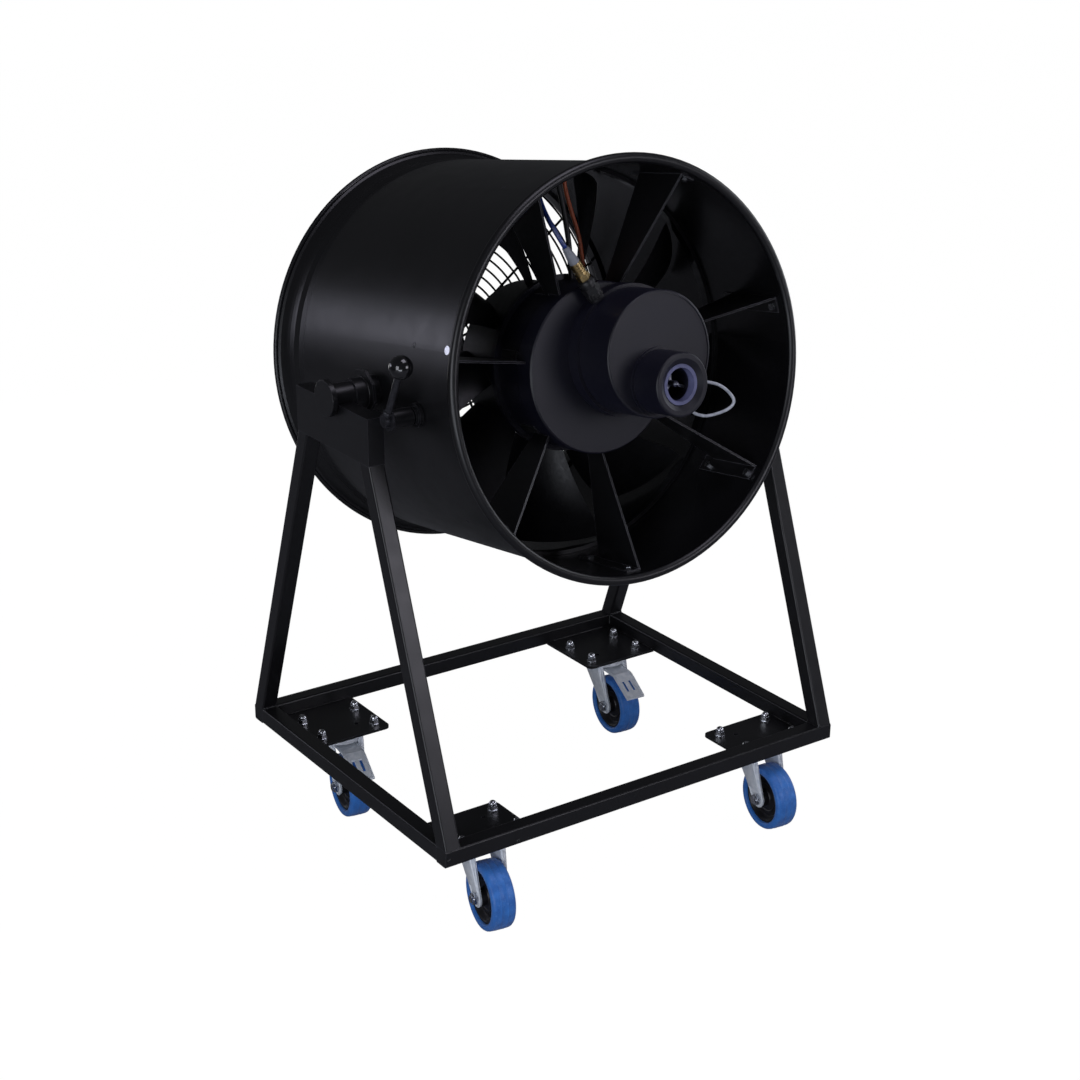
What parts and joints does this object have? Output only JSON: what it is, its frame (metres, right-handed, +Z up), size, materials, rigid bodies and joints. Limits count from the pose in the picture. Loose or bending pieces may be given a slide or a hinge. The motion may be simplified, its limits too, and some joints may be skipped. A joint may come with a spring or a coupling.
{
  "type": "tilting drum fan on a wheeled stand",
  "caption": "Black axial drum fan that tilts between two A-frames on a square-tube base with swivel casters, with motor, guide vanes, nozzle and rear wire grille.",
  "frame": {"origin": "on the floor under the middle of the whole fan", "axes": "X runs along the base's width and the tilt axis, to the right for someone who looks into the outlet; Y runs along the base's depth, towards the inlet; Z is up"},
  "size_m": [0.722, 0.614, 1.0454],
  "materials": {
    "black_powder_coat": "satin",
    "zinc_bolts": "polished",
    "zinc_steel": "satin",
    "dark_steel": "satin",
    "black_phenolic": "gloss",
    "black_wire": "satin",
    "motor_black": "matt",
    "core_steel": "matt",
    "pale_ring": "satin",
    "dull_steel": "satin",
    "light_tube": "satin",
    "black_plastic": "satin",
    "brass": "satin",
    "grey_plastic": "satin",
    "blue_hose": "satin",
    "orange_sheath": "satin",
    "black_sheath": "satin",
    "impeller_black": "satin",
    "shaft_steel": "polished",
    "black_nylon": "matt",
    "blue_elastic": "satin"
  },
  "bodies": {
    "stand": {"front_rail": "black_powder_coat", "rear_rail": "black_powder_coat", "left_rail": "black_powder_coat", "right_rail": "black_powder_coat", "leg_front_left": "black_powder_coat", "leg_front_right": "black_powder_coat", "leg_rear_left": "black_powder_coat", "leg_rear_right": "black_powder_coat", "head_left": "black_powder_coat", "head_right": "black_powder_coat", "corner_plates": "black_powder_coat", "caster_bolts": "zinc_bolts", "caster_plates": "zinc_steel"},
    "clamp_lever": {"clamp_lever": "dark_steel", "clamp_ball": "black_phenolic"},
    "clamp_pad": {"clamp_pad": "black_powder_coat"},
    "drum": {"drum_shell": "black_powder_coat", "inlet_ring": "black_powder_coat", "throat_ring": "black_powder_coat", "grille_rings": "black_wire", "grille_spokes": "black_wire", "guide_vanes": "black_powder_coat", "vane_bolts": "zinc_bolts", "motor_casing": "motor_black", "motor_core": "core_steel", "front_housing": "motor_black", "nozzle": "motor_black", "nozzle_ring": "pale_ring", "nozzle_spider": "dull_steel", "nozzle_loop": "light_tube", "hose_glands": "black_plastic", "hose_fitting": "brass", "strain_relief": "grey_plastic", "hose": "blue_hose", "motor_cable": "orange_sheath", "sensor_cable": "black_sheath", "stub_axle_left": "black_powder_coat", "stub_axle_right": "black_powder_coat", "axle_caps": "black_powder_coat"},
    "impeller": {"impeller_hub": "impeller_black", "impeller_blades": "impeller_black", "motor_shaft": "shaft_steel"},
    "fork_fl": {"fork_fl": "zinc_steel", "axle_fl": "zinc_bolts"},
    "wheel_fl": {"rim_fl": "black_nylon", "tyre_fl": "blue_elastic"},
    "fork_fr": {"fork_fr": "zinc_steel", "axle_fr": "zinc_bolts"},
    "wheel_fr": {"rim_fr": "black_nylon", "tyre_fr": "blue_elastic"},
    "fork_rl": {"fork_rl": "zinc_steel", "axle_rl": "zinc_bolts"},
    "wheel_rl": {"rim_rl": "black_nylon", "tyre_rl": "blue_elastic"},
    "fork_rr": {"fork_rr": "zinc_steel", "axle_rr": "zinc_bolts"},
    "wheel_rr": {"rim_rr": "black_nylon", "tyre_rr": "blue_elastic"},
    "pedal_rl": {"pedal_rl": "zinc_steel"},
    "pedal_rr": {"pedal_rr": "zinc_steel"}
  },
  "joints": [
    {"name": "drum_tilt", "type": "hinge", "parent": "stand", "child": "drum", "pos_m": [0, 0.00136, 0.724], "axis": [-1, 0, 0], "range_deg": [-38, 82]},
    {"name": "impeller_spin", "type": "hinge", "parent": "drum", "child": "impeller", "pos_m": [0, 0.00136, 0.724], "axis": [0, -0.9903, 0.1392], "continuous": true},
    {"name": "clamp_turn", "type": "hinge", "parent": "stand", "child": "clamp_lever", "pos_m": [-0.3315, -0.11464, 0.718], "axis": [1, 0, 0], "range_deg": [-40, 90]},
    {"name": "clamp_press", "type": "slide", "parent": "stand", "child": "clamp_pad", "axis": [1, 0, 0], "range_m": [-0.0003, 0.0006]},
    {"name": "swivel_fl", "type": "hinge", "parent": "stand", "child": "fork_fl", "pos_m": [-0.256, -0.21264, 0.13], "axis": [0, 0, 1], "continuous": true},
    {"name": "roll_fl", "type": "hinge", "parent": "fork_fl", "child": "wheel_fl", "pos_m": [-0.26288, -0.25609, 0.05], "axis": [0.9877, -0.1564, 0], "continuous": true},
    {"name": "swivel_fr", "type": "hinge", "parent": "stand", "child": "fork_fr", "pos_m": [0.256, -0.21264, 0.13], "axis": [0, 0, 1], "continuous": true},
    {"name": "roll_fr", "type": "hinge", "parent": "fork_fr", "child": "wheel_fr", "pos_m": [0.2514, -0.25639, 0.05], "axis": [0.9945, -0.1045, 0], "continuous": true},
    {"name": "swivel_rl", "type": "hinge", "parent": "stand", "child": "fork_rl", "pos_m": [-0.256, 0.18336, 0.13], "axis": [0, 0, 1], "continuous": true},
    {"name": "roll_rl", "type": "hinge", "parent": "fork_rl", "child": "wheel_rl", "pos_m": [-0.26212, 0.13979, 0.05], "axis": [0.9903, -0.1392, 0], "continuous": true},
    {"name": "swivel_rr", "type": "hinge", "parent": "stand", "child": "fork_rr", "pos_m": [0.256, 0.18336, 0.13], "axis": [0, 0, 1], "continuous": true},
    {"name": "roll_rr", "type": "hinge", "parent": "fork_rr", "child": "wheel_rr", "pos_m": [0.25293, 0.13947, 0.05], "axis": [0.9976, -0.0698, 0], "continuous": true},
    {"name": "brake_rl", "type": "hinge", "parent": "fork_rl", "child": "pedal_rl", "pos_m": [-0.25906, 0.16158, 0.1105], "axis": [0.9903, -0.1392, 0], "range_deg": [-4, 8]},
    {"name": "brake_rr", "type": "hinge", "parent": "fork_rr", "child": "pedal_rr", "pos_m": [0.25447, 0.16142, 0.1105], "axis": [0.9976, -0.0698, 0], "range_deg": [-4, 8]}
  ],
  "couplings": [
    {"joint": "clamp_press", "follows": "clamp_turn", "m_per_rad": 0.00038197}
  ]
}
